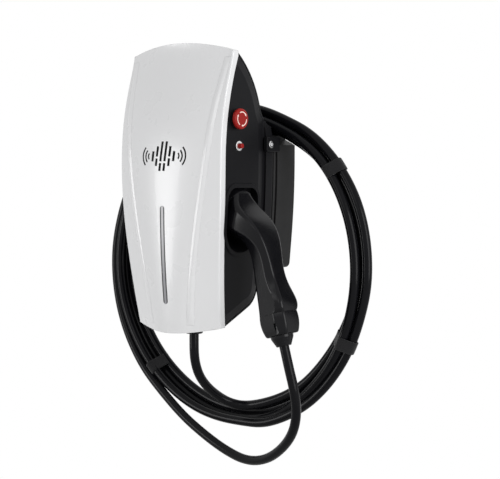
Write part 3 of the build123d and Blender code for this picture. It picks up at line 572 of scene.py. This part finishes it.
def strap_outline(angle, turns):
    """Closed line round the strands at an angle, as (radius, depth) points evenly spaced."""
    reach = cable_radius + tie_slack
    dots = []
    for turn in range(turns):
        radius, depth = coil_place(angle + 360.0 * turn)
        for i in range(strand_dots):
            around = math.tau * i / strand_dots
            out = radius + reach * math.cos(around)
            dots.append(Vector((out, depth + reach * math.sin(around))))
    hull = [dots[i] for i in convex_hull_2d(dots)]
    closed = hull + hull[:1]
    steps = [(b - a).length for a, b in zip(closed, closed[1:])]
    total = sum(steps)
    count = round(total / tie_step)
    line = []
    for i in range(count):
        left = total * i / count
        part = 0
        while left > steps[part]:
            left -= steps[part]
            part += 1
        line.append(closed[part].lerp(closed[part + 1], left / steps[part]))
    return line


def tie_strip(angle, turns):
    """Strap wound once round the strands, its end lapped over its start."""
    line = strap_outline(angle, turns)
    count = len(line)
    middle = sum(line, Vector((0.0, 0.0))) / count
    lapped = round(count * (1.0 + tie_lap))
    verts = []
    for i in range(lapped + 1):
        spot = line[i % count]
        ahead = line[(i + 1) % count] - line[i % count - 1]
        out = Vector((ahead.y, -ahead.x)).normalized()
        if out.dot(spot - middle) < 0:
            out = -out
        ramp = min(max(i - count + tie_lap_ramp, 0) / tie_lap_ramp, 1.0)
        lift = (tie_thickness + tie_lap_gap) * smooth(ramp)
        radius, depth = spot + out * lift
        for k in range(tie_columns + 1):
            across = (k / tie_columns - 0.5) * tie_width
            if i == lapped:
                across *= tie_end_share
            verts.append(round_coil(angle + math.degrees(across / radius), radius, depth))
    row = tie_columns + 1
    faces = []
    for i in range(lapped):
        for k in range(tie_columns):
            a = i * row + k
            faces.append((a, a + 1, a + row + 1, a + row))
    return verts, faces


def make_ties(kit):
    """The ties as one piece, with their thickness and soft edges as modifiers."""
    verts = []
    faces = []
    for angle, turns in tie_places:
        spots, strips = tie_strip(angle, turns)
        faces += [tuple(len(verts) + v for v in strip) for strip in strips]
        verts += spots
    ties = new_piece(
        "hook_and_loop_ties", verts, faces, kit["tie"], "wallbox", smooth_faces=True,
    )
    solid = ties.modifiers.new("thickness", "SOLIDIFY")
    solid.thickness = tie_thickness * mm
    solid.offset = 0.0
    edge = ties.modifiers.new("edge", "BEVEL")
    edge.width = tie_edge_radius * mm
    edge.segments = 2
    edge.limit_method = "ANGLE"
    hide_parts("cable_ties")
    return ties


# Cover

def on_cover(cover, x, z):
    """Depth of the cover's front at a place."""
    start = Vector((x, -far_off, z)) * mm
    return cover.ray_cast(start, Vector((0.0, 1.0, 0.0)))[0].y / mm


def crease_at(z):
    """Half of the distance between the two creases at a height."""
    run = z - crease_foot_z
    t = smooth(min(max(run / crease_shoulder_run, 0.0), 1.0))
    return crease_foot + crease_flare * run + crease_shoulder * t


def make_crease_ridge(kit, side):
    """The moulded ridge that rounds a crease, from roof to foot."""
    cover = surface_of("front_cover")
    verts = []
    for i in range(ridge_rows + 1):
        z = ridge_bottom_z + (ridge_top_z - ridge_bottom_z) * i / ridge_rows
        from_end = min(z - ridge_bottom_z, ridge_top_z - z)
        height = ridge_height * smooth(min(from_end / ridge_fade, 1.0))
        top = []
        back = []
        for k in range(ridge_columns + 1):
            across = 2 * k / ridge_columns - 1
            x = side * crease_at(z) + across * ridge_half_width
            y = on_cover(cover, x, z)
            lift = height * (1 + math.cos(math.pi * across)) / 2
            top.append((x, y - lift - ridge_film, z))
            back.append((x, y + ridge_sunk, z))
        verts += top + back[::-1]
    faces = skin_rings(ridge_rows + 1, 2 * (ridge_columns + 1))
    name = "crease_ridge_left" if side < 0 else "crease_ridge_right"
    ridge = new_piece(
        name, verts, faces, kit["cover"], "wallbox", smooth_faces=True,
    )
    turn_faces_out(ridge, ridge_sharp_angle)


# Joint between housing and rear shell

def make_joint_lip(kit, side):
    """The lip that bridges the joint at one side, flat on the shell's inner face."""
    shell = surface_of("rear_shell")
    verts = []
    for i in range(lip_rows + 1):
        z = lip_bottom_z + (lip_top_z - lip_bottom_z) * i / lip_rows
        middle = Vector((0.0, lip_rear_y, min(z, lip_straight_top_z))) * mm
        x = shell.ray_cast(middle, Vector((side, 0.0, 0.0)))[0].x / mm
        inside = x - side * lip_thickness
        verts += [(x, lip_front_y, z), (x, lip_rear_y, z)]
        verts += [(inside, lip_rear_y, z), (inside, lip_front_y, z)]
    name = "joint_lip_left" if side < 0 else "joint_lip_right"
    faces = skin_rings(lip_rows + 1, strip_points)
    turn_faces_out(new_piece(name, verts, faces, kit["housing"], "wallbox"))


# Printed signs

def stroke(line, widths):
    """Flat stroke along a line of 2D points: its two edges as point pairs."""
    pairs = []
    for i, spot in enumerate(line):
        before = line[max(i - 1, 0)]
        after = line[min(i + 1, len(line) - 1)]
        side = (after - before).normalized().orthogonal() * widths[i] / 2
        pairs.append((spot + side, spot - side))
    return pairs


def print_strokes(name, strokes, place, material, body):
    """Thin raised print: each stroke is laid on the surface that place() finds."""
    verts = []
    faces = []
    for pairs in strokes:
        first = len(verts)
        for left, right in pairs:
            verts += [place(left, print_thickness), place(right, print_thickness)]
            verts += [place(right, -print_thickness), place(left, -print_thickness)]
        faces += [tuple(first + v for v in face) for face in skin_rings(len(pairs), strip_points)]
    turn_faces_out(new_piece(name, verts, faces, material, body))


def make_reader_sign(kit):
    """Six leaning bars, with three waves at each side of them."""
    cover = surface_of("front_cover")

    def place(spot, lift):
        return (spot.x, on_cover(cover, spot.x, spot.y) - lift, spot.y)

    strokes = []
    for side in (-1, 1):
        for order, spans in enumerate(bar_spans):
            middle = side * (order + 0.5) * bar_pitch
            for low, high in spans:
                heights = [low + (high - low) * i / bar_steps for i in range(bar_steps + 1)]
                line = [Vector((middle + bar_lean * h, sign_z + h)) for h in heights]
                strokes.append(stroke(line, [bar_thickness] * len(line)))
        for radius in wave_radii:
            line = []
            for i in range(-wave_half_steps, wave_half_steps + 1):
                turn = math.radians(wave_half_angle * i / wave_half_steps)
                out = wave_centre_x + radius * math.cos(turn)
                line.append(Vector((side * out, sign_z + radius * math.sin(turn))))
            strokes.append(stroke(line, [wave_thickness] * len(line)))
    print_strokes("reader_sign", strokes, place, kit["mark"], "wallbox")


def make_stop_arrows(kit):
    """Arrows round the stop knob's face, which show the way to turn it free."""
    head = surface_of("stop_head")
    axis_y, axis_z = stop_axis

    def place(spot, lift):
        y, z = axis_y + spot.x, axis_z + spot.y
        hit = head.ray_cast(Vector((far_off, y, z)) * mm, Vector((-1.0, 0.0, 0.0)))[0]
        return (hit.x / mm + lift, y, z)

    share = 360.0 / arrow_count
    tip = math.degrees(arrow_head / arrow_radius)
    tail = share - arrow_gap - tip
    strokes = []
    for order in range(arrow_count):
        start = arrow_first_gap + arrow_gap / 2 + share * order
        steps = [tip + tail * i / arrow_steps for i in range(arrow_steps + 1)]
        turns = [math.radians(start + step) for step in [0.0, tip] + steps]
        widths = [arrow_tip, arrow_head] + [arrow_thickness] * len(steps)
        line = [arrow_radius * Vector((math.cos(turn), math.sin(turn))) for turn in turns]
        line[2] = line[1].lerp(line[3], arrow_neck_share)
        strokes.append(stroke(line, widths))
    print_strokes("stop_arrows", strokes, place, kit["pale"], "stop_knob")


# Camera, light and surroundings

def make_camera():
    """The camera of the photograph, turned about the box and tilted a little down."""
    angle = math.radians(camera_azimuth)
    ahead = Vector((-math.sin(angle), math.cos(angle), 0.0))
    target = Vector((*camera_target, 0.0))
    data = bpy.data.cameras.new("camera")
    data.sensor_width = sensor_width
    data.sensor_fit = "HORIZONTAL"
    data.lens = focal_pixels / image_width * sensor_width
    camera = bpy.data.objects.new("camera", data)
    camera.location = target - camera_distance * ahead
    camera.rotation_euler = (math.radians(90.0 - camera_drop), 0.0, angle)
    bpy.context.scene.collection.objects.link(camera)
    bpy.context.scene.camera = camera


def area_light(name, place, size, power):
    """A soft rectangular lamp that faces the box."""
    data = bpy.data.lights.new(name, "AREA")
    data.shape = "RECTANGLE"
    data.size, data.size_y = size
    data.energy = power
    light = bpy.data.objects.new(name, data)
    light.location = place
    ahead = Vector(box_middle) - Vector(place)
    light.rotation_euler = ahead.to_track_quat("-Z", "Y").to_euler()
    bpy.context.scene.collection.objects.link(light)


def make_world():
    """Even surroundings, which the camera and reflections see as white."""
    world = bpy.data.worlds.new("studio")
    bpy.context.scene.world = world
    world.use_nodes = True
    tree = world.node_tree
    glow = tree.nodes["Background"]
    glow.inputs["Strength"].default_value = world_light
    glow.inputs["Color"].default_value = (1.0, 1.0, 1.0, 1.0)
    white = tree.nodes.new("ShaderNodeBackground")
    white.inputs["Color"].default_value = (1.0, 1.0, 1.0, 1.0)
    seen = tree.nodes.new("ShaderNodeLightPath")
    either = tree.nodes.new("ShaderNodeMath")
    either.operation = "MAXIMUM"
    any_of = tree.nodes.new("ShaderNodeMath")
    any_of.operation = "MAXIMUM"
    mix = tree.nodes.new("ShaderNodeMixShader")
    tree.links.new(seen.outputs["Is Camera Ray"], either.inputs[0])
    tree.links.new(seen.outputs["Is Glossy Ray"], either.inputs[1])
    tree.links.new(either.outputs[0], any_of.inputs[0])
    tree.links.new(seen.outputs["Is Transmission Ray"], any_of.inputs[1])
    tree.links.new(any_of.outputs[0], mix.inputs["Fac"])
    tree.links.new(glow.outputs["Background"], mix.inputs[1])
    tree.links.new(white.outputs["Background"], mix.inputs[2])
    tree.links.new(mix.outputs["Shader"], tree.nodes["World Output"].inputs["Surface"])


def floor_material():
    """Pale floor that keeps a soft shadow and looks almost white to the camera."""
    material = new_material("floor_pale", (0.82, 0.82, 0.81), roughness=0.6, specular=0.2)
    add_grain(material, scale=40.0, height=0.0002)
    tree = material.node_tree
    white = tree.nodes.new("ShaderNodeEmission")
    white.inputs["Strength"].default_value = 1.0
    seen = tree.nodes.new("ShaderNodeLightPath")
    share = tree.nodes.new("ShaderNodeMath")
    share.operation = "MULTIPLY"
    share.inputs[1].default_value = floor_whiteness
    mix = tree.nodes.new("ShaderNodeMixShader")
    tree.links.new(seen.outputs["Is Camera Ray"], share.inputs[0])
    tree.links.new(share.outputs[0], mix.inputs["Fac"])
    tree.links.new(tree.nodes["Principled BSDF"].outputs["BSDF"], mix.inputs[1])
    tree.links.new(white.outputs["Emission"], mix.inputs[2])
    tree.links.new(mix.outputs["Shader"], tree.nodes["Material Output"].inputs["Surface"])
    return material


def make_floor():
    """Pale round floor below the box, under the edge of the camera's view."""
    bpy.ops.mesh.primitive_circle_add(
        vertices=floor_sides, radius=floor_radius, fill_type="NGON",
        location=(*box_middle[:2], floor_z),
    )
    floor = bpy.context.object
    floor.name = "floor"
    floor.data.materials.append(floor_material())


def make_surroundings():
    make_world()
    make_floor()
    for name, place, size, power in lamps:
        area_light(name, place, size, power)
    bpy.context.scene.view_settings.view_transform = "Standard"


def main():
    kit = make_materials()
    make_camera()
    make_surroundings()
    paint_nodes(kit)
    make_cable(kit, make_ties(kit))
    for side in (-1, 1):
        make_crease_ridge(kit, side)
        make_joint_lip(kit, side)
    make_reader_sign(kit)
    make_stop_arrows(kit)


main()
